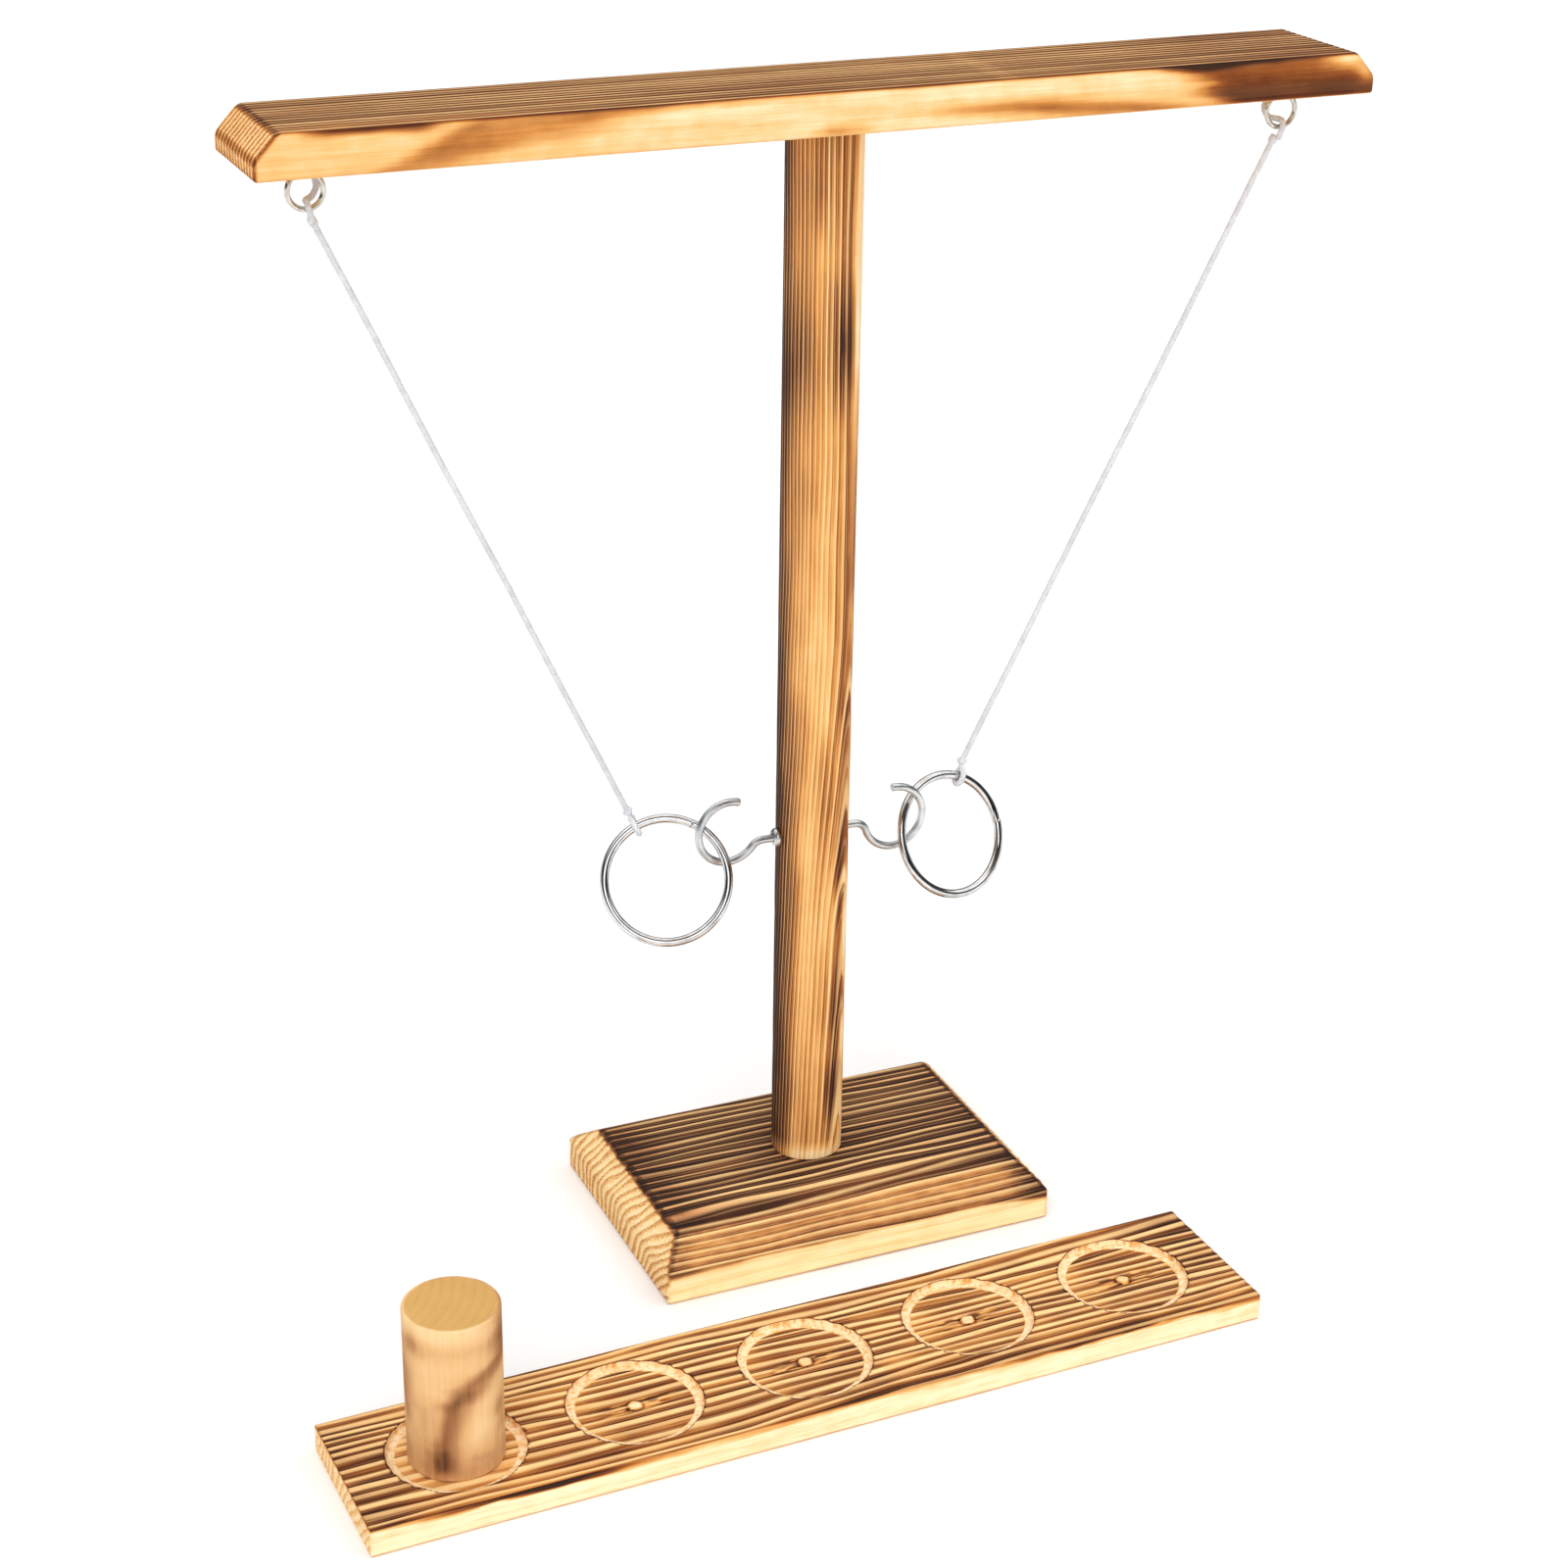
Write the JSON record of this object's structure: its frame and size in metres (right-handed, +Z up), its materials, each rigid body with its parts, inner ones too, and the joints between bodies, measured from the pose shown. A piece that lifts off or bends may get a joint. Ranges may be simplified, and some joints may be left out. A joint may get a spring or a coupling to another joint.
{
  "type": "ring toss set",
  "caption": "Tabletop ring toss: a burnt wood stand with a crossbar, corded metal rings on wire hooks, and a loose score board with a recessed row and a peg.",
  "frame": {"origin": "middle of the set's footprint on the table", "axes": "+Z up, +X along the crossbar to the right as seen from the score board's side, -Y towards the players"},
  "size_m": [0.343, 0.1648, 0.3515],
  "materials": {
    "base_wood": "softwood burnt dark and brushed along the grain, pale end grain on the end bevels",
    "post_wood": "turned softwood dowel, burnt brown bands between pale grain lines",
    "crossbar_wood": "smooth cream softwood with scorched patches, top face burnt dark and brushed",
    "board_wood": "softwood burnt and brushed into lengthwise ridges, cream edges",
    "peg_wood": "smooth softwood with scorched blotches and a paler top",
    "screw_steel": "plain steel screws",
    "eye_nickel": "bright nickel plated wire",
    "hook_zinc": "bright zinc plated wire",
    "ring_chrome": "polished chrome wire ring with a butt seam",
    "white_cord": "white braided cord"
  },
  "bodies": {
    "stand": {"base_board": "base_wood", "base_screw": "screw_steel", "post": "post_wood", "crossbar": "crossbar_wood", "crossbar_stud": "screw_steel", "left_screw_eye": "eye_nickel", "left_hook": "hook_zinc", "left_hook_collar": "hook_zinc", "left_eye_tie": "white_cord", "right_screw_eye": "eye_nickel", "right_hook": "hook_zinc", "right_eye_tie": "white_cord"},
    "left_line": {"left_swing_knot": "white_cord", "left_cord": "white_cord"},
    "left_loop": {"left_ring_knot": "white_cord"},
    "left_toss_ring": {"left_ring": "ring_chrome"},
    "right_line": {"right_swing_knot": "white_cord", "right_cord": "white_cord"},
    "right_loop": {"right_ring_knot": "white_cord"},
    "right_toss_ring": {"right_ring": "ring_chrome"},
    "board": {"score_board": "board_wood"},
    "peg": {"score_peg": "peg_wood"}
  },
  "joints": [
    {"name": "left_cord_swing", "type": "hinge", "parent": "stand", "child": "left_line", "pos_m": [-0.13548, 0.03932, 0.32383], "axis": [0.1501, -0.5204, 0.8406], "range_deg": [0, 18]},
    {"name": "left_ring_tilt", "type": "hinge", "parent": "left_line", "child": "left_loop", "pos_m": [-0.04567, 0.05284, 0.13614], "axis": [-0.9659, 0.259, 0], "range_deg": [0, 90]},
    {"name": "left_ring_spin", "type": "hinge", "parent": "left_loop", "child": "left_toss_ring", "pos_m": [-0.03881, 0.03907, 0.1185], "axis": [-0.3212, -0.8031, 0.5019], "continuous": true},
    {"name": "right_cord_swing", "type": "hinge", "parent": "stand", "child": "right_line", "pos_m": [0.15188, 0.03927, 0.32381], "axis": [0.1501, 0.5204, -0.8406], "range_deg": [0, 18]},
    {"name": "right_ring_tilt", "type": "hinge", "parent": "right_line", "child": "right_loop", "pos_m": [0.06383, 0.05017, 0.13565], "axis": [-0.9659, -0.259, 0], "range_deg": [0, 90]},
    {"name": "right_ring_spin", "type": "hinge", "parent": "right_loop", "child": "right_toss_ring", "pos_m": [0.05509, 0.03907, 0.117], "axis": [0.2001, -0.8803, 0.4302], "continuous": true},
    {"name": "score_board_slide", "type": "slide", "parent": "stand", "child": "board", "axis": [0, -1, 0], "range_m": [0, 0.06]},
    {"name": "score_peg_lift", "type": "slide", "parent": "board", "child": "peg", "axis": [0, 0, 1], "range_m": [0, 0.03]}
  ],
  "couplings": [
    {"joint": "left_ring_tilt", "follows": "left_cord_swing", "ratio": 5},
    {"joint": "right_ring_tilt", "follows": "right_cord_swing", "ratio": 5}
  ]
}
